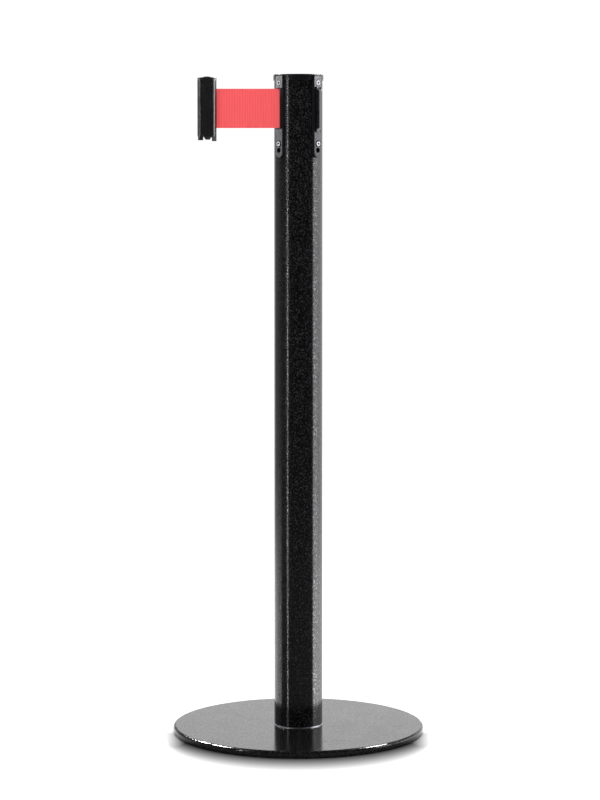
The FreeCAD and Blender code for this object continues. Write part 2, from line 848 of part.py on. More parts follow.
def strip_face(stretches, thickness):
    """A flat strip of constant thickness along stretches that run on smoothly from each other.

    A stretch is ("line", start, end) or ("arc", centre, radius, start angle, end angle).
    """
    sides = []
    for side in (1.0, -1.0):
        edges = []
        for stretch in stretches:
            if stretch[0] == "line":
                start, end = stretch[1], stretch[2]
                along = (end - start).normalize()
                shift = FreeCAD.Vector(-along.y, along.x, 0) * (side * thickness / 2.0)
                edges.append(Part.LineSegment(start + shift, end + shift).toShape())
            else:
                centre, radius, start, end = stretch[1:]
                turning = 1.0 if end > start else -1.0
                edges.append(arc_edge(centre, radius - turning * side * thickness / 2.0, start, end))
        sides.append(edges)
    left, right = sides
    caps = []
    for index in (0, -1):
        reach = 1 if index == -1 else 0
        left_end = left[index].Vertexes[reach].Point
        right_end = right[index].Vertexes[reach].Point
        caps.append(Part.LineSegment(left_end, right_end).toShape())
    wire = Part.Wire(Part.__sortEdges__(left + right + caps))
    return Part.Face(wire)


def solid_feature(name, shape):
    item = doc.addObject("Part::Feature", name)
    item.Shape = shape
    return item


def mainspring():
    """A flat spiral of half turns about two centres a quarter pitch either side of the axis."""
    low = number(d.spring_low)
    shift = number(d.spring_pitch) / 4.0
    radius = number(d.spring_start_radius) + number(d.spring_thickness)
    stretches = []
    for half_turn in range(int(2 * number(d.spring_turns))):
        side = -1.0 if half_turn % 2 == 0 else 1.0
        centre = FreeCAD.Vector(side * shift, 0, low)
        start = math.pi * half_turn
        stretches.append(("arc", centre, radius, start, start + math.pi))
        radius += 2.0 * shift
    face = strip_face(stretches, number(d.spring_thickness))
    return solid_feature("mainspring", face.extrude(FreeCAD.Vector(0, 0, number(d.spring_width))))


def belt_coil():
    high = d.belt_low + d.belt_width
    return lathe("belt_coil", rectangle(d.hub_radius + d.fit_gap, d.coil_radius, d.belt_low, high))


def belt_anchor_pin():
    high = d.belt_low + d.belt_width
    return cylinder("belt_anchor_pin", d.anchor_pin_radius, d.belt_low, high, d.anchor_pin_offset)


def free_belt():
    """The belt from the coil, round the front guide pin and into the clip, hemmed round the clamp pin."""
    low = number(d.belt_low)
    line = number(d.belt_line)
    leave = number(d.belt_leave_radius)
    bend_x = number(d.belt_bend_x)
    reach = math.hypot(bend_x, line)
    leave_angle = math.atan2(line, bend_x) + math.acos(leave / reach)
    start = point_on(FreeCAD.Vector(0, 0, low), leave, leave_angle)
    corner = FreeCAD.Vector(bend_x, line, low)
    inward = (start - corner).normalize()
    slope = math.atan2(inward.y, inward.x)
    bend = number(d.belt_bend_radius)
    tangent = bend * math.tan(slope / 2.0)
    bend_centre = FreeCAD.Vector(bend_x - tangent, line + bend, low)
    pin = FreeCAD.Vector(number(d.clip_centre), line + number(clamp_pin_back()), low)
    loop = number(clamp_pin_back())
    down = -math.pi / 2.0
    hem_start = pin + FreeCAD.Vector(0, loop, 0)
    stretches = [
        ("line", start, corner + inward * tangent),
        ("arc", bend_centre, bend, down + slope, down),
        ("line", FreeCAD.Vector(bend_x - tangent, line, low), pin - FreeCAD.Vector(0, loop, 0)),
        ("arc", pin, loop, down, down - math.pi),
        ("line", hem_start, hem_start + FreeCAD.Vector(number(d.hem_length), 0, 0)),
    ]
    face = strip_face(stretches, number(d.belt_thickness))
    return solid_feature("free_belt", face.extrude(FreeCAD.Vector(0, 0, number(d.belt_width))))


# ---- belt end clip --------------------------------------------------------------------------------

def clamp_pin_back():
    """How far behind the belt's line the clamp pin stands, so that the belt wraps it."""
    return d.clamp_pin_radius + d.belt_thickness / 2.0 + d.fit_gap


def rounded_front(name, front, back, half, low, high, corner):
    """A block from -front to back along x, with its two upright front corners rounded by `corner`."""
    body = new_body(name)
    sketch = new_sketch(body, "XY_Plane", name + "_outline", low)
    draw_outline(sketch, rectangle(-front, back, -half, half))
    pad(body, sketch, name + "_pad", high - low)

    def front_corner(edge):
        upright = abs(edge.tangentAt(edge.FirstParameter).z) > NEARLY_UPRIGHT
        return upright and edge.CenterOfMass.x < -number(front) + TOUCHING
    round_edges(body, name + "_fillet", corner, front_corner)
    return body


def clip_plan(name, low, high):
    """The clip's full outline between two heights: rounded front block, groove and barrel."""
    front = rounded_front(name + "_front", d.clip_front, d.clip_groove_front, d.clip_front_half, low, high,
                          d.clip_front_round)
    groove_half = d.clip_groove_half
    neck = block(name + "_neck", (d.clip_groove_front - OVERRUN, d.clip_groove_back + OVERRUN),
                 (-groove_half, groove_half), (low, high))
    barrel_half = d.clip_barrel_radius
    barrel = block(name + "_barrel", (d.clip_groove_back, d.clip_barrel_centre),
                   (-barrel_half, barrel_half), (low, high))
    back = cylinder(name + "_back", d.clip_barrel_radius, low, high, d.clip_barrel_centre)
    return fuse(name, [front, neck, barrel, back])


def chamber(name, gap, low, high):
    """The hollow of the barrel, or a plug that fills it, less a gap all round."""
    half = d.chamber_half - gap
    hollow = block(name + "_block", (d.chamber_front + gap, d.clip_barrel_centre), (-half, half), (low, high))
    end = cylinder(name + "_end", half, low, high, d.clip_barrel_centre)
    return fuse(name, [hollow, end])


def clip_body():
    """The clip's moulding, with the channel that drops over a receiver rail on its front."""
    plan = clip_plan("clip_plan", d.clip_low, d.clip_body_top)
    foot = rounded_front("clip_front_foot", d.front_foot_front, d.front_foot_back, d.front_foot_half,
                         d.front_foot_low, d.clip_low, d.front_foot_round)
    outside = fuse("clip_outside", [plan, foot])
    channel_front = d.channel_lip - d.clip_front
    bottom = d.front_foot_low - OVERRUN
    channel = block("clip_channel", (channel_front, d.channel_back), (-d.channel_half, d.channel_half),
                    (bottom, d.channel_top))
    slot = block("clip_channel_slot", (-d.clip_front - OVERRUN, d.channel_back),
                 (-d.channel_slot_half, d.channel_slot_half), (bottom, d.channel_top))
    hollow = chamber("clip_hollow", 0.0, d.clip_low - OVERRUN, d.clip_body_top + OVERRUN)
    gap = d.window_gap
    belt_slot = block("clip_belt_slot", (d.clip_barrel_centre, d.clip_front + OVERRUN),
                      (-d.belt_slot_half, d.belt_slot_half),
                      (d.belt_low - gap, d.belt_low + d.belt_width + gap))
    return in_clip_place(cut("clip_body", outside, [channel, slot, hollow, belt_slot]))


def in_clip_place(item):
    put(item, d.clip_centre, d.belt_line, 0.0)
    return item


def clip_lid():
    """The top cover, with a low dome, a plug that fills the barrel and a socket for the clamp pin."""
    plate = clip_plan("clip_lid_plate", d.clip_body_top, d.clip_top)
    plug = chamber("clip_lid_plug", d.fit_gap, d.clip_body_top - d.plug_depth, d.clip_body_top)
    sphere = doc.addObject("Part::Sphere", "clip_dome_sphere")
    radius = (d.dome_radius * d.dome_radius + d.dome_height * d.dome_height) / (2.0 * d.dome_height)
    bind(sphere, "Radius", radius)
    put(sphere, 0.0, 0.0, d.clip_top + d.dome_height - radius)
    column = cylinder("clip_dome_column", d.dome_radius, d.clip_top - OVERRUN, d.clip_top + 2.0 * d.dome_height)
    dome = common("clip_dome", [sphere, column])
    socket = cylinder("clip_lid_socket", d.clamp_pin_radius + d.press_gap,
                      d.clip_body_top - d.plug_depth - OVERRUN, d.clip_body_top - d.socket_end, 0.0,
                      clamp_pin_back())
    return in_clip_place(cut("clip_lid", fuse("clip_lid_blank", [plate, plug, dome]), [socket]))


def clip_foot_plug():
    """The bottom plug, with the middle foot sloped on its front and the rear foot round like the barrel."""
    plug = chamber("foot_plug_core", d.fit_gap, d.clip_low, d.clip_low + d.plug_depth)
    middle = new_body("middle_foot")
    sketch = new_sketch(middle, "XZ_Plane", "middle_foot_outline", -d.middle_foot_half)
    draw_outline(sketch, [
        (d.middle_foot_front, d.middle_foot_low),
        (d.middle_foot_back, d.middle_foot_low),
        (d.foot_gap_front, d.foot_gap_top),
        (d.rear_foot_front, d.foot_gap_top),
        (d.rear_foot_front, d.clip_low),
        (d.middle_foot_shoulder, d.clip_low),
        (d.middle_foot_shoulder, d.middle_foot_shoulder_low),
    ])
    pad(middle, sketch, "middle_foot_pad", 2.0 * d.middle_foot_half)
    barrel = cylinder("rear_foot_round", d.clip_barrel_radius - d.rear_foot_inset, d.rear_foot_low,
                      d.clip_low, d.clip_barrel_centre)
    keep = block("rear_foot_keep", (d.rear_foot_front, d.clip_front),
                 (-d.clip_barrel_radius, d.clip_barrel_radius), (d.rear_foot_low, d.clip_low))
    rear = common("rear_foot", [barrel, keep])
    whole = fuse("foot_plug_blank", [plug, middle, rear])
    socket = cylinder("foot_plug_socket", d.clamp_pin_radius + d.press_gap, d.clip_low + d.socket_end,
                      d.clip_low + d.plug_depth + OVERRUN, 0.0, clamp_pin_back())
    return in_clip_place(cut("clip_foot_plug", whole, [socket]))


def belt_clamp_pin():
    short = d.socket_end + d.seat_gap
    pin = cylinder("clamp_pin_bar", d.clamp_pin_radius, d.clip_low + short, d.clip_body_top - short, 0.0,
                   clamp_pin_back())
    return in_clip_place(group("belt_clamp_pin", [pin]))


# ---- assembly -------------------------------------------------------------------------------------

def build_nodes():
    bush_top_low = d.upper_flange_low + d.flange_thickness
    nodes = [base_cover(), base_weight(), floor_ring(), base_bolt(), base_washer(), tube_foot_plate()]
    nodes += [post_tube(), head_cap(), cassette_lid(), cassette_body()]
    for place, angle in RECEIVERS.items():
        nodes += [receiver_plate(place, angle), receiver_rail(place, angle)]
    nodes.append(belt_outlet_plate())
    nodes.append(guide_pin("front_guide_pin", d.front_pin_out, d.front_pin_across))
    nodes.append(guide_pin("rear_guide_pin", d.rear_pin_out, d.rear_pin_across))
    nodes.append(plate_screws("plate_upper_screws", d.upper_screw_height, d.upper_bore_depth))
    nodes.append(plate_screws("plate_lower_screws", d.lower_screw_height, d.lower_bore_depth))
    nodes += [spool_axle(), axle_retaining_ring(), spool(), belt_anchor_pin(), belt_coil()]
    nodes.append(bush("lower_bush", d.arbor_low - d.bush_flange_thickness, d.arbor_low))
    nodes.append(bush("upper_bush", bush_top_low, bush_top_low - d.bush_length))
    nodes += [spring_cup(), spring_cup_lid(), mainspring(), free_belt()]
    nodes += [clip_body(), clip_lid(), clip_foot_plug(), belt_clamp_pin()]
    return nodes


def check(nodes):
    for item in doc.Objects:
        if "Invalid" in item.State or "Error" in item.State:
            raise RuntimeError("%s failed: %s" % (item.Name, item.State))
    for node in nodes:
        if node.Shape.isNull() or not node.Shape.isValid():
            raise RuntimeError("%s has no valid shape" % node.Name)
        if not node.Shape.Solids:
            raise RuntimeError("%s has no solid" % node.Name)


all_nodes = build_nodes()
doc.recompute()
check(all_nodes)
os.makedirs("parts", exist_ok=True)
for node in all_nodes:
    node.Label = node.Name
    node.Shape.exportStep("parts/%s.step" % node.Name)
    print("%-28s %10.1f mm3  %d solids" % (node.Name, node.Shape.Volume, len(node.Shape.Solids)))
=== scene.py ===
import math

import bmesh
import bpy
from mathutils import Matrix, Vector


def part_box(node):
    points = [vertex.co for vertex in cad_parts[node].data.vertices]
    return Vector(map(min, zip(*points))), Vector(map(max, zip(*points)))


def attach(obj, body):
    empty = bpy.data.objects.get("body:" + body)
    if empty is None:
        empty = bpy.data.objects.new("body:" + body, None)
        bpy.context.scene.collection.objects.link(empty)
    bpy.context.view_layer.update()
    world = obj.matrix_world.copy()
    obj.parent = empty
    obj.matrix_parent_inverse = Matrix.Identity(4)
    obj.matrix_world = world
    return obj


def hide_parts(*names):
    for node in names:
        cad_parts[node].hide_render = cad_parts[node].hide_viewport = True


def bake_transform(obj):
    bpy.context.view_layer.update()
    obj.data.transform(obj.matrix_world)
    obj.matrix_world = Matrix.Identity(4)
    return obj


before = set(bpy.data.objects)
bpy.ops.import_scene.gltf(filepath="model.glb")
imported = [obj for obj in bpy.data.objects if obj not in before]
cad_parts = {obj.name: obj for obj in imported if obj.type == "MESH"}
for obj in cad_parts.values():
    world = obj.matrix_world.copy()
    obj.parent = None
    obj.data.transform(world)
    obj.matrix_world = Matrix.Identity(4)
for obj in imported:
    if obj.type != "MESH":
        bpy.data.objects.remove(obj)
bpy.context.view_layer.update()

MM = 0.001

# ---- belt, along the plan's X and Y and the height Z ----------------------------------------------
BELT_THICKNESS = 0.5 * MM
BELT_COIL_GAP = 0.3 * MM
BELT_BEND_X = -21.5 * MM
BELT_BEND_RADIUS = 8.0 * MM
BELT_HEM_LENGTH = 5.0 * MM
RIB_PITCH = 2.1 * MM
RIB_HEIGHT = 0.07 * MM
STEPS_PER_RIB = 6
YARN_PITCH = 0.55 * MM
SELVEDGE = 1.6 * MM
EDGE_ROUND = 0.3 * MM
EDGE_HALF_THICKNESS = 0.02 * MM
EDGE_ROWS = (0.0, 0.08 * MM, EDGE_ROUND, 0.8 * MM, SELVEDGE - EDGE_ROUND, SELVEDGE)
MIDDLE_ROWS = 14

# The wound belt is squeezed a little thinner than the free belt.
WOUND_PITCH = 0.45 * MM
WOUND_CLEARANCE = 0.05 * MM
WOUND_STEPS_PER_TURN = 60
WOUND_PAST_ANCHOR = 1.5 * BELT_THICKNESS
WOUND_EDGE_SHARE = 0.3

# ---- camera ---------------------------------------------------------------------------------------
CAMERA_PLACE = (0.0022, -3.40, 0.7531)
CAMERA_TILT_DOWN = 3.165
CAMERA_LENS = 116.86
CAMERA_SHIFT_UP = -0.12

# ---- surfaces -------------------------------------------------------------------------------------
NOISE_RANGE = (0.3, 0.7)
BEVEL_SAMPLES = 6
ACROSS_CORNER = math.sqrt(0.5)
FACE_FADE = (0.5 * MM, 0.3 * MM)
CLIP_IOR = 1.8

# ---- stage ----------------------------------------------------------------------------------------
FLOOR_RADIUS = 12.0
NEAR_FLOOR_RADIUS = 0.20
CIRCLE_POINTS = 128
LIGHT_AIM_HEIGHT = 0.45
SHADE_RADIUS = 0.170
SHADE_START = -0.033
SHADE_DEPTH = 0.0955
SHADE_POWER = 2.04
SHADE_SIDES = (0.145, 0.182)
SHADE_BACK = (-0.045, -0.005)
FLOOR_LIGHT = 1.5
FLOOR_WHITE = 0.9

# ---- studio room: each band is a range of the sine of the height angle ----------------------------
HIGH_WALL_BAND = (-0.175, -0.130)
CEILING_BAND = (0.40, 0.72)
CEILING_LIGHT = 1.3
REFLECTED_CEILING_BAND = (0.29, 0.42)
REFLECTED_CEILING_LIGHT = 0.12
BACKDROP_LIGHT = 1.05


# ---- materials ------------------------------------------------------------------------------------

class Nodes:
    """A node tree, with short names for what both kinds here have."""

    def feed(self, socket, value):
        """A socket takes another node's output, or a plain value."""
        if isinstance(value, bpy.types.NodeSocket):
            self.tree.links.new(value, socket)
        else:
            socket.default_value = value

    def math(self, operation, *values):
        """One step of arithmetic on up to three values."""
        node = self.tree.nodes.new("ShaderNodeMath")
        node.operation = operation
        for socket, value in zip(node.inputs, values):
            self.feed(socket, value)
        return node.outputs[0]


class Material(Nodes):
    """A Principled material, with short names for the nodes that feed it."""

    def __init__(self, name, colour, roughness, **values):
        self.made = bpy.data.materials.new(name)
        self.made.use_nodes = True
        self.tree = self.made.node_tree
        self.shader = self.tree.nodes["Principled BSDF"]
        self.shader.inputs["Base Color"].default_value = (*colour, 1.0)
        self.shader.inputs["Roughness"].default_value = roughness
        for socket, value in values.items():
            self.shader.inputs[socket.replace("_", " ")].default_value = value
        self.place = self.tree.nodes.new("ShaderNodeTexCoord").outputs["Object"]

    def noise(self, size, detail=2.0, place=None):
        """Noise from 0 to 1 whose blobs are about `size` metres across."""
        node = self.tree.nodes.new("ShaderNodeTexNoise")
        node.inputs["Scale"].default_value = 1.0 / size
        node.inputs["Detail"].default_value = detail
        self.feed(node.inputs["Vector"], place or self.place)
        return node.outputs["Fac"]

    def stretch(self, x, y, z):
        """The place, scaled along each axis, for patterns that run one way."""
        node = self.tree.nodes.new("ShaderNodeMapping")
        node.inputs["Scale"].default_value = (x, y, z)
        self.feed(node.inputs["Vector"], self.place)
        return node.outputs["Vector"]

    def remap(self, value, low, high, new_low, new_high):
        """The value moved from one range to another, and held at the ends."""
        node = self.tree.nodes.new("ShaderNodeMapRange")
        limits = (("From Min", low), ("From Max", high), ("To Min", new_low), ("To Max", new_high))
        for socket, limit in limits:
            node.inputs[socket].default_value = limit
        self.feed(node.inputs["Value"], value)
        return node.outputs["Result"]

    def spread(self, noise, new_low, new_high):
        """Noise stretched from the range that it mostly keeps to."""
        return self.remap(noise, *NOISE_RANGE, new_low, new_high)

    def wave(self, axis, pitch):
        """Even bars across an axis, from 0 to 1 and back in each `pitch`."""
        turns = self.math("MULTIPLY", self.axis(axis), 2.0 * math.pi / pitch)
        return self.math("MULTIPLY_ADD", self.math("COSINE", turns), 0.5, 0.5)

    def mix(self, share, a, b):
        """A colour from a to b as share goes from 0 to 1."""
        node = self.tree.nodes.new("ShaderNodeMix")
        node.data_type = "RGBA"
        self.feed(node.inputs[0], share)
        for socket, colour in ((node.inputs[6], a), (node.inputs[7], b)):
            self.feed(socket, (*colour, 1.0) if isinstance(colour, tuple) else colour)
        return node.outputs[2]

    def axis(self, name):
        node = self.tree.nodes.new("ShaderNodeSeparateXYZ")
        self.feed(node.inputs[0], self.place)
        return node.outputs[name]

    def from_axis(self):
        """How far out a place is across the nearest corner of the head."""
        sides = [self.math("ABSOLUTE", self.axis(name)) for name in ("X", "Y")]
        return self.math("MULTIPLY", self.math("ADD", *sides), ACROSS_CORNER)

    def outer_face(self, name):
        """1 on the outermost face of a corner part of the head, and 0 deeper in."""
        reach = corner_reach(name)
        deep, shallow = FACE_FADE
        return self.remap(self.from_axis(), reach - deep, reach - shallow, 0.0, 1.0)

    def soften(self, radius):
        """Edges catch the light as if rounded by `radius`."""
        node = self.tree.nodes.new("ShaderNodeBevel")
        node.samples = BEVEL_SAMPLES
        node.inputs["Radius"].default_value = radius
        self.feed(self.shader.inputs["Normal"], node.outputs["Normal"])

    def colour(self, value):
        self.feed(self.shader.inputs["Base Color"], value)

    def roughness(self, value):
        self.feed(self.shader.inputs["Roughness"], value)

    def metallic(self, value):
        self.feed(self.shader.inputs["Metallic"], value)

    def bump(self, height, depth, strength=1.0):
        """Relief of `depth` metres, on top of any bump that is there."""
        node = self.tree.nodes.new("ShaderNodeBump")
        node.inputs["Strength"].default_value = strength
        node.inputs["Distance"].default_value = depth
        self.feed(node.inputs["Height"], height)
        socket = self.shader.inputs["Normal"]
        if socket.is_linked:
            self.feed(node.inputs["Normal"], socket.links[0].from_socket)
        self.feed(socket, node.outputs["Normal"])


def corner_reach(name):
    """How far the outermost point of a CAD node is from the post's axis, across a corner of the head."""
    points = [vertex.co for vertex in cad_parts[name].data.vertices]
    return max(abs(point.x) + abs(point.y) for point in points) * ACROSS_CORNER


def hammered_black_paint():
    """Semi-gloss black powder coat, with bright flakes and orange-peel grains about 2 mm across."""
    paint = Material("hammered_black_paint", (0.004, 0.004, 0.005), 0.16, IOR=1.33)
    grain = paint.noise(2.6 * MM, 1.5)
    specks = paint.noise(2.2 * MM, 3.0)
    patches = paint.noise(40 * MM, 3.0)
    dust = paint.remap(paint.noise(1.8 * MM, 2.0), 0.50, 0.66, 0.0, 1.0)
    ground = paint.mix(dust, (0.006, 0.006, 0.0065), (0.018, 0.018, 0.019))
    flakes = paint.remap(specks, 0.52, 0.60, 0.0, 1.0)
    paint.colour(paint.mix(flakes, ground, (0.060, 0.060, 0.063)))
    paint.metallic(paint.remap(specks, 0.45, 0.52, 0.0, 1.0))
    paint.roughness(paint.spread(patches, 0.12, 0.18))
    paint.bump(grain, 0.05 * MM, 0.3)
    paint.bump(specks, 0.03 * MM, 0.3)
    return paint.made


def gloss_black_plastic(name="gloss_black_plastic", ior=1.4):
    """Moulded black plastic with faint flow ripples."""
    plastic = Material(name, (0.004, 0.004, 0.005), 0.24, IOR=ior)
    ripple = plastic.noise(9 * MM, 2.0)
    grain = plastic.noise(0.5 * MM, 2.0)
    plastic.colour(plastic.mix(ripple, (0.001, 0.001, 0.0015), (0.004, 0.004, 0.005)))
    plastic.roughness(plastic.spread(ripple, 0.20, 0.28))
    plastic.soften(0.5 * MM)
    plastic.bump(ripple, 0.10 * MM, 0.3)
    plastic.bump(grain, 0.015 * MM, 0.3)
    return plastic.made


def satin_black_plastic():
    """Corner plates: a speckled grey-black front face with painted light, lighter towards the top, over
    sides and bores darkened with painted shade.
    """
    plastic = Material("satin_black_plastic", (0.09, 0.09, 0.095), 0.5, IOR=1.15)
    grain = plastic.noise(1.7 * MM, 3.0)
    low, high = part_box("belt_outlet_plate")
    # Painted light: the front face's colour grows lighter towards the top of the plate.
    rise = plastic.remap(plastic.axis("Z"), low.z, high.z, 0.0, 1.0)
    face_colour_with_painted_light = plastic.mix(rise, (0.074, 0.075, 0.081), (0.230, 0.231, 0.244))
    speckle = plastic.remap(grain, 0.42, 0.60, 0.0, 0.7)
    face_colour_with_painted_light = plastic.mix(speckle, face_colour_with_painted_light, (0.02, 0.02, 0.022))
    # Painted shade: everything deeper than the front face, the plate's sides and bores, is near-black.
    face = plastic.outer_face("belt_outlet_plate")
    plastic.colour(plastic.mix(face, (0.006, 0.006, 0.007), face_colour_with_painted_light))
    plastic.roughness(plastic.spread(grain, 0.45, 0.60))
    plastic.soften(0.4 * MM)
    plastic.bump(grain, 0.04 * MM, 0.5)
    return plastic.made


def nickel_screws(node):
    """Dull nickel on the plates' screw heads, with painted shade making the recess below each head's face
    near-black.
    """
    steel = Material("nickel_steel_" + node, (0.42, 0.42, 0.43), 0.4, Metallic=0.05)
    clouds = steel.noise(2 * MM, 3.0)
    # Painted shade: everything deeper than the head's outer face, such as the recess, is near-black.
    head = steel.outer_face(node)
    plating = steel.mix(clouds, (0.36, 0.36, 0.38), (0.48, 0.48, 0.50))
    steel.colour(steel.mix(head, (0.01, 0.01, 0.01), plating))
    steel.roughness(steel.spread(clouds, 0.3, 0.42))
    steel.soften(0.2 * MM)
    return steel.made


def black_nylon():
    """Matt moulded nylon, as in the belt cassette."""
    nylon = Material("black_nylon", (0.02, 0.02, 0.02), 0.55)
    grain = nylon.noise(0.7 * MM, 3.0)
    nylon.colour(nylon.mix(grain, (0.014, 0.014, 0.015), (0.028, 0.028, 0.029)))
    nylon.roughness(nylon.spread(grain, 0.48, 0.62))
    nylon.bump(grain, 0.03 * MM, 0.4)
    return nylon.made


def black_rubber():
    """Dull rubber with a dusty bloom."""
    rubber = Material("black_rubber", (0.02, 0.02, 0.02), 0.8)
    bloom = rubber.noise(12 * MM, 4.0)
    grain = rubber.noise(0.8 * MM, 2.0)
    rubber.colour(rubber.mix(bloom, (0.014, 0.014, 0.014), (0.032, 0.031, 0.030)))
    rubber.roughness(rubber.spread(bloom, 0.7, 0.9))
    rubber.bump(grain, 0.05 * MM, 0.5)
    return rubber.made


def acetal(name, dark, light):
    """Waxy moulded acetal with faint clouding."""
    plastic = Material(name, light, 0.38)
    clouds = plastic.noise(5 * MM, 3.0)
    grain = plastic.noise(0.6 * MM, 2.0)
    plastic.colour(plastic.mix(clouds, dark, light))
    plastic.roughness(plastic.spread(clouds, 0.32, 0.44))
    plastic.bump(grain, 0.015 * MM, 0.4)
    return plastic.made


def grey_acetal():
    return acetal("grey_acetal", (0.30, 0.31, 0.32), (0.37, 0.38, 0.39))


def natural_acetal():
    return acetal("natural_acetal", (0.72, 0.71, 0.65), (0.80, 0.79, 0.74))


def cast_iron():
    """As-cast iron under thin dark primer."""
    iron = Material("cast_iron", (0.10, 0.10, 0.10), 0.65, Metallic=0.6)
    sand = iron.noise(1.2 * MM, 5.0)
    stains = iron.noise(30 * MM, 4.0)
    iron.colour(iron.mix(stains, (0.07, 0.07, 0.07), (0.13, 0.125, 0.12)))
    iron.roughness(iron.spread(sand, 0.55, 0.8))
    iron.bump(sand, 0.25 * MM, 0.7)
    return iron.made


def bright_metal(name, dark, light, rough_low, rough_high, lines):
    """Plated or rolled steel with fine lines round the part, `lines` metres apart along its height."""
    metal = Material(name, light, rough_low, Metallic=1.0)
    brushed = metal.noise(lines, 2.0, metal.stretch(0.05, 0.05, 1.0))
    clouds = metal.noise(6 * MM, 3.0)
    metal.colour(metal.mix(clouds, dark, light))
    metal.roughness(metal.spread(brushed, rough_low, rough_high))
    metal.bump(brushed, 0.01 * MM, 0.4)
    return metal.made


def zinc_steel():
    return bright_metal("zinc_steel", (0.48, 0.49, 0.52), (0.60, 0.61, 0.63), 0.28, 0.42, 0.3 * MM)


def spring_steel():
    return bright_metal("spring_steel", (0.20, 0.23, 0.30), (0.34, 0.35, 0.38), 0.22, 0.36, 0.2 * MM)


def black_steel():
    """Black oxide on a ground pin."""
    steel = Material("black_steel", (0.02, 0.02, 0.02), 0.35, Metallic=0.8)
    clouds = steel.noise(3 * MM, 3.0)
    steel.colour(steel.mix(clouds, (0.015, 0.015, 0.017), (0.035, 0.034, 0.036)))
    steel.roughness(steel.spread(clouds, 0.28, 0.42))
    return steel.made


def red_webbing():
    """Red polyester webbing: ribs across its width, fine yarns along them, and a soft sheen."""
    belt = Material("red_webbing", (0.92, 0.09, 0.10), 0.62, Sheen_Weight=0.15, Sheen_Roughness=0.4)
    rib = belt.wave("X", RIB_PITCH)
    yarn = belt.wave("Z", YARN_PITCH)
    uneven = belt.noise(RIB_PITCH, 2.0, belt.stretch(1.0, 1.0, 0.08))
    shade = belt.math("MULTIPLY_ADD", uneven, 0.4, belt.math("MULTIPLY", rib, 0.6))
    belt.colour(belt.mix(shade, (0.44, 0.044, 0.048), (0.74, 0.076, 0.083)))
    belt.roughness(belt.remap(yarn, 0.0, 1.0, 0.55, 0.7))
    belt.bump(rib, 0.08 * MM, 0.5)
    belt.bump(yarn, 0.03 * MM, 0.5)
    return belt.made


def floor_material():
    """Pale studio paper, with a soft shade that hugs the front of the base.

    The shade's brightness is a power of the share of its depth. The share runs on to 2, where the paper
    has long been white.
    """
    paper = Material("floor_paper", (0.9, 0.9, 0.9), 0.9, IOR=1.0)
    x, y = paper.axis("X"), paper.axis("Y")
    chord = paper.math("SUBTRACT", SHADE_RADIUS ** 2, paper.math("MULTIPLY", x, x))
    edge = paper.math("SQRT", paper.math("MAXIMUM", chord, 0.0))
    ahead = paper.math("SUBTRACT", paper.math("MULTIPLY", y, -1.0), edge)
    share = paper.remap(ahead, SHADE_START, SHADE_START + 2.0 * SHADE_DEPTH, 0.0, 2.0)
    front = paper.math("DIVIDE", paper.math("POWER", share, SHADE_POWER), FLOOR_LIGHT)
    sides = paper.remap(paper.math("ABSOLUTE", x), *SHADE_SIDES, 0.0, FLOOR_WHITE)
    back = paper.remap(y, *SHADE_BACK, 0.0, FLOOR_WHITE)
    lit = paper.math("MAXIMUM", paper.math("MAXIMUM", front, sides), back)
    lit = paper.math("MINIMUM", lit, FLOOR_WHITE)
    paper.colour(paper.mix(lit, (0.0, 0.0, 0.0), (1.0, 1.0, 1.0)))
    return paper.made


MATERIALS = {
    "hammered_black_paint": hammered_black_paint,
    "cast_iron": cast_iron,
    "black_rubber": black_rubber,
    "zinc_steel": zinc_steel,
    "spring_steel": spring_steel,
    "black_steel": black_steel,
    "gloss_black_plastic": gloss_black_plastic,
    "satin_black_plastic": satin_black_plastic,
    "black_nylon": black_nylon,
    "grey_acetal": grey_acetal,
    "natural_acetal": natural_acetal,
    "red_webbing": red_webbing,
}
SCREWS = ("plate_upper_screws", "plate_lower_screws")
POLISHED = ("clip_body", "clip_lid")


def paint_nodes(materials):
    """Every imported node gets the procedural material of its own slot.

    The plates' screws and the polished clip have a version of their own.
    """
    own = {name: nickel_screws(name) for name in SCREWS}
    polished = gloss_black_plastic("gloss_black_plastic_polished", CLIP_IOR)
    own.update({name: polished for name in POLISHED})
    for name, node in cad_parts.items():
        for place in node.material_slots:
            place.material = own.get(name) or materials[place.material.name.split(".")[0]]


# ---- belt pieces ----------------------------------------------------------------------------------

def middle(node):
    """The middle of a CAD node's box."""
    low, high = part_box(node)
    return (low + high) / 2.0


def arc(centre, radius, start, end, step):
    """Points along an arc, about `step` apart."""
    count = max(2, math.ceil(abs(end - start) * radius / step))
    angles = [start + (end - start) * i / count for i in range(count + 1)]
    return [centre + radius * Vector((math.cos(a), math.sin(a))) for a in angles]


def belt_route():
    """The free belt's centreline in plan.

    It comes off the coil, bends round the front guide pin, runs to the clip and is hemmed round its pin.
    """
    low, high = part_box("free_belt")
    line = low.y + BELT_THICKNESS / 2.0
    pin = middle("belt_clamp_pin").to_2d()
    loop = pin.y - line
    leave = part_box("belt_coil")[1].x + BELT_COIL_GAP + BELT_THICKNESS / 2.0
    reach = math.hypot(BELT_BEND_X, line)
    leave_angle = math.atan2(line, BELT_BEND_X) + math.acos(leave / reach)
    start = leave * Vector((math.cos(leave_angle), math.sin(leave_angle)))
    corner = Vector((BELT_BEND_X, line))
    inward = (start - corner).normalized()
    slope = math.atan2(inward.y, inward.x)
    tangent = BELT_BEND_RADIUS * math.tan(slope / 2.0)
    bend = Vector((BELT_BEND_X - tangent, line + BELT_BEND_RADIUS))
    down = -math.pi / 2.0
    step = RIB_PITCH / STEPS_PER_RIB
    points = [start]
    points += arc(bend, BELT_BEND_RADIUS, down + slope, down, step)
    points += arc(pin, loop, down, down - math.pi, step)
    points.append(pin + Vector((BELT_HEM_LENGTH, loop)))
    return points


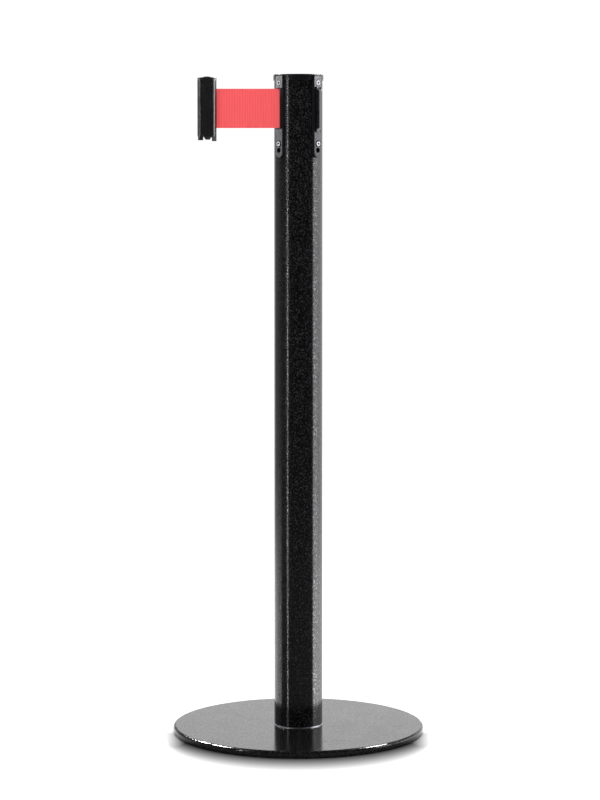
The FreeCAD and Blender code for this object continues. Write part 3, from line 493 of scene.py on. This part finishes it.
def walk(points, step):
    """Evenly spaced points along a line of points, each with its direction and its distance along."""
    lengths = [(b - a).length for a, b in zip(points, points[1:])]
    total = sum(lengths)
    count = round(total / step)
    stations = []
    leg = 0
    before = 0.0
    for i in range(count + 1):
        along = total * i / count
        while leg < len(lengths) - 1 and along > before + lengths[leg]:
            before += lengths[leg]
            leg += 1
        way = (points[leg + 1] - points[leg]).normalized()
        stations.append((points[leg] + way * (along - before), way, along))
    return stations


def belt_heights(low, high):
    """Heights across the belt, closer together at the two woven edges."""
    span = high - low - 2.0 * SELVEDGE
    heights = [low + row for row in EDGE_ROWS]
    heights += [low + SELVEDGE + span * i / MIDDLE_ROWS for i in range(1, MIDDLE_ROWS)]
    heights += [high - row for row in reversed(EDGE_ROWS)]
    return heights


def half_thickness(from_edge, along):
    """Half the belt's thickness: rounded and plain at the selvedge, ribbed between."""
    plain = BELT_THICKNESS / 2.0 - RIB_HEIGHT / 2.0
    if from_edge < EDGE_ROUND:
        round_off = 1.0 - from_edge / EDGE_ROUND
        share = math.sqrt(max(0.0, 1.0 - round_off * round_off))
        return (plain + 0.5 * RIB_HEIGHT) * share + EDGE_HALF_THICKNESS
    if from_edge < SELVEDGE:
        return plain + 0.5 * RIB_HEIGHT
    return plain + RIB_HEIGHT * (0.5 + 0.5 * math.cos(2.0 * math.pi * along / RIB_PITCH))


def strip_mesh(name, stations, heights, thickness):
    """A closed strip that stands on edge along `stations`, `thickness(from_edge, along)` to each side."""
    low, high = heights[0], heights[-1]
    shape = bmesh.new()
    sheets = []
    for side in (1.0, -1.0):
        rows = []
        for point, way, along in stations:
            normal = Vector((-way.y, way.x))
            row = []
            for height in heights:
                half = thickness(min(height - low, high - height), along)
                place = point + normal * half * side
                row.append(shape.verts.new((place.x, place.y, height)))
            rows.append(row)
        sheets.append(rows)
    last = len(heights) - 1
    for left, right in zip(range(len(stations) - 1), range(1, len(stations))):
        for low_row, high_row in zip(range(last), range(1, last + 1)):
            a, b = sheets[0][left], sheets[0][right]
            shape.faces.new((b[low_row], a[low_row], a[high_row], b[high_row]))
            a, b = sheets[1][left], sheets[1][right]
            shape.faces.new((a[low_row], b[low_row], b[high_row], a[high_row]))
        for edge, turn in ((0, 1), (last, -1)):
            front, back = sheets
            rim = (front[left][edge], front[right][edge], back[right][edge], back[left][edge])
            shape.faces.new(rim[::turn])
    for end, turn in ((0, 1), (-1, -1)):
        front, back = sheets[0][end], sheets[1][end]
        for low_row, high_row in zip(range(last), range(1, last + 1)):
            cap = (front[low_row], back[low_row], back[high_row], front[high_row])
            shape.faces.new(cap[::turn])
    bmesh.ops.recalc_face_normals(shape, faces=shape.faces)
    mesh = bpy.data.meshes.new(name)
    shape.to_mesh(mesh)
    shape.free()
    mesh.shade_smooth()
    piece = bpy.data.objects.new(name, mesh)
    bpy.context.scene.collection.objects.link(piece)
    return piece


def add_free_belt(material):
    """The webbing between the post and the clip."""
    low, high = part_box("free_belt")
    stations = walk(belt_route(), RIB_PITCH / STEPS_PER_RIB)
    belt = strip_mesh("belt_webbing", stations, belt_heights(low.z, high.z), half_thickness)
    belt.data.materials.append(material)
    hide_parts("free_belt")
    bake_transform(belt)


def add_wound_belt(material):
    """The rest of the belt, wound in turns on the spool."""
    low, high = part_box("belt_coil")
    outer = high.x - BELT_THICKNESS / 2.0
    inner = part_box("belt_anchor_pin")[1].x + WOUND_PAST_ANCHOR
    turns = math.floor((outer - inner) / WOUND_PITCH)
    points = []
    for i in range(turns * WOUND_STEPS_PER_TURN + 1):
        angle = 2.0 * math.pi * i / WOUND_STEPS_PER_TURN
        radius = outer - WOUND_PITCH * i / WOUND_STEPS_PER_TURN
        points.append(radius * Vector((math.cos(angle), math.sin(angle))))
    length = sum((b - a).length for a, b in zip(points, points[1:]))
    stations = walk(points, length / (len(points) - 1))
    rows = (0.0, EDGE_ROUND, SELVEDGE)
    heights = [low.z + row for row in rows] + [high.z - row for row in reversed(rows)]

    def layer(from_edge, along):
        """Half a turn's thickness, thinner at the very edges."""
        share = 0.5 if from_edge > 0.5 * EDGE_ROUND else WOUND_EDGE_SHARE
        return share * (WOUND_PITCH - WOUND_CLEARANCE)

    coil = strip_mesh("belt_wound", stations, heights, layer)
    coil.data.materials.append(material)
    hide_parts("belt_coil")
    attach(coil, "spool")


# ---- stage, light and camera ----------------------------------------------------------------------

def ring_of_points(radius):
    """Points round a circle on the floor."""
    angles = [2.0 * math.pi * i / CIRCLE_POINTS for i in range(CIRCLE_POINTS)]
    return [(radius * math.cos(a), radius * math.sin(a), 0.0) for a in angles]


def add_floor():
    """A disc near the base, which shows in reflections, and a wide ring round it, which doesn't."""
    material = floor_material()
    inner = ring_of_points(NEAR_FLOOR_RADIUS)
    outer = ring_of_points(FLOOR_RADIUS)
    count = len(inner)
    ring_faces = [(i, i + count, (i + 1) % count + count, (i + 1) % count) for i in range(count)]
    parts = (
        ("near_floor", inner, [tuple(range(count))], True),
        ("far_floor", inner + outer, ring_faces, False),
    )
    for name, points, faces, reflected in parts:
        mesh = bpy.data.meshes.new(name)
        mesh.from_pydata(points, [], faces)
        mesh.materials.append(material)
        floor = bpy.data.objects.new(name, mesh)
        floor.visible_glossy = reflected
        bpy.context.scene.collection.objects.link(floor)


def add_softbox(name, side_angle, elevation, distance, size, radiance):
    """A soft light at `side_angle` degrees round the post from the camera's side, facing the post."""
    light = bpy.data.lights.new(name, "AREA")
    light.shape = "RECTANGLE"
    light.size, light.size_y = size
    light.energy = radiance * math.pi * size[0] * size[1]
    angle, up = math.radians(side_angle), math.radians(elevation)
    away = Vector((math.sin(angle) * math.cos(up), -math.cos(angle) * math.cos(up), math.sin(up)))
    lamp = bpy.data.objects.new(name, light)
    lamp.location = Vector((0.0, 0.0, LIGHT_AIM_HEIGHT)) + away * distance
    lamp.rotation_euler = away.to_track_quat("Z", "Y").to_euler()
    bpy.context.scene.collection.objects.link(lamp)
    return lamp


WALLS = (
    # degrees round the post from the camera's side, brightness high on the wall, brightness low on it
    (-180, 1.25, 1.25),
    (-150, 0.90, 1.90),
    (-130, 0.36, 2.60),
    (-115, 0.60, 3.10),
    (-100, 0.48, 3.10),
    (-90, 0.30, 2.80),
    (-85, 0.25, 0.30),
    (-56, 0.20, 0.25),
    (-46, 0.07, 0.22),
    (55, 0.07, 0.25),
    (73, 0.15, 0.35),
    (77, 7.00, 11.00),
    (95, 5.50, 9.40),
    (112, 3.20, 5.60),
    (130, 1.80, 2.80),
    (150, 1.10, 1.30),
    (180, 1.25, 1.25),
)
WALL_PEAK = 12.0


class World(Nodes):
    """The studio round the object, with short names for the nodes that make it."""

    def __init__(self):
        self.made = bpy.data.worlds.new("studio")
        self.made.use_nodes = True
        self.tree = self.made.node_tree
        self.background = self.tree.nodes["Background"]
        self.background.inputs["Color"].default_value = (1.0, 1.0, 1.0, 1.0)
        place = self.tree.nodes.new("ShaderNodeTexCoord")
        parts = self.tree.nodes.new("ShaderNodeSeparateXYZ")
        self.tree.links.new(place.outputs["Generated"], parts.inputs[0])
        self.x, self.y, self.z = parts.outputs

    def rise(self, source, low, high):
        """0 below low, 1 above high, smooth between."""
        node = self.tree.nodes.new("ShaderNodeMapRange")
        node.interpolation_type = "SMOOTHSTEP"
        self.feed(node.inputs["Value"], source)
        node.inputs["From Min"].default_value = low
        node.inputs["From Max"].default_value = high
        return node.outputs["Result"]

    def blend(self, share, a, b):
        """A number from a to b as share goes from 0 to 1."""
        node = self.tree.nodes.new("ShaderNodeMix")
        self.feed(node.inputs[0], share)
        self.feed(node.inputs[2], a)
        self.feed(node.inputs[3], b)
        return node.outputs[0]

    def wall(self, turn, column):
        """Brightness round the room, from one column of WALLS."""
        node = self.tree.nodes.new("ShaderNodeValToRGB")
        self.feed(node.inputs[0], turn)
        stops = node.color_ramp.elements
        while len(stops) < len(WALLS):
            stops.new(1.0)
        for stop, row in zip(stops, WALLS):
            level = row[column] / WALL_PEAK
            stop.position = row[0] / 360.0 + 0.5
            stop.color = (level, level, level, 1.0)
        return self.math("MULTIPLY", node.outputs["Color"], WALL_PEAK)


def add_world():
    """White walls behind the post and at its right, a dim room in front, and a bright ceiling.

    Reflections see the ceiling dark, so that the base's rim stays black between its lights.
    """
    world = World()
    bpy.context.scene.world = world.made
    angle = world.math("ARCTAN2", world.x, world.math("MULTIPLY", world.y, -1.0))
    turn = world.math("ADD", world.math("DIVIDE", angle, 2.0 * math.pi), 0.5)
    high_wall = world.wall(turn, 1)
    low_wall = world.wall(turn, 2)
    wall = world.blend(world.rise(world.z, *HIGH_WALL_BAND), low_wall, high_wall)
    room = world.blend(world.rise(world.z, *CEILING_BAND), wall, CEILING_LIGHT)
    dark_ceiling = world.rise(world.z, *REFLECTED_CEILING_BAND)
    reflected = world.blend(dark_ceiling, wall, REFLECTED_CEILING_LIGHT)
    rays = world.tree.nodes.new("ShaderNodeLightPath")
    seen = world.blend(rays.outputs["Is Glossy Ray"], room, reflected)
    seen = world.blend(rays.outputs["Is Camera Ray"], seen, BACKDROP_LIGHT)
    world.feed(world.background.inputs["Strength"], seen)


def add_lights():
    """A strip for the line down the tube, a light at each side for the base's rim, and a front key."""
    add_softbox(
        "left_strip_light", side_angle=-51.5, elevation=0.0, distance=2.2, size=(0.05, 3.6), radiance=26.0
    )
    for side, name in ((1.0, "right"), (-1.0, "left")):
        rim_light = add_softbox(
            name + "_rim_light", side_angle=side * 112.0, elevation=42.0, distance=1.8,
            size=(0.45, 0.45), radiance=300.0,
        )
        rim_light.visible_diffuse = False
    key = add_softbox(
        "front_key_light", side_angle=0.0, elevation=52.0, distance=2.6, size=(1.4, 1.0), radiance=11.5
    )
    key.visible_glossy = False


def add_camera():
    """A long lens straight in front of the post, tilted down a little."""
    data = bpy.data.cameras.new("camera")
    data.lens = CAMERA_LENS
    data.shift_y = CAMERA_SHIFT_UP
    camera = bpy.data.objects.new("camera", data)
    camera.location = CAMERA_PLACE
    camera.rotation_euler = (math.radians(90.0 - CAMERA_TILT_DOWN), 0.0, 0.0)
    bpy.context.scene.collection.objects.link(camera)
    bpy.context.scene.camera = camera


materials = {slot: make() for slot, make in MATERIALS.items()}
paint_nodes(materials)
add_free_belt(materials["red_webbing"])
add_wound_belt(materials["red_webbing"])
add_floor()
add_world()
add_lights()
add_camera()
bpy.context.scene.view_settings.view_transform = "Standard"
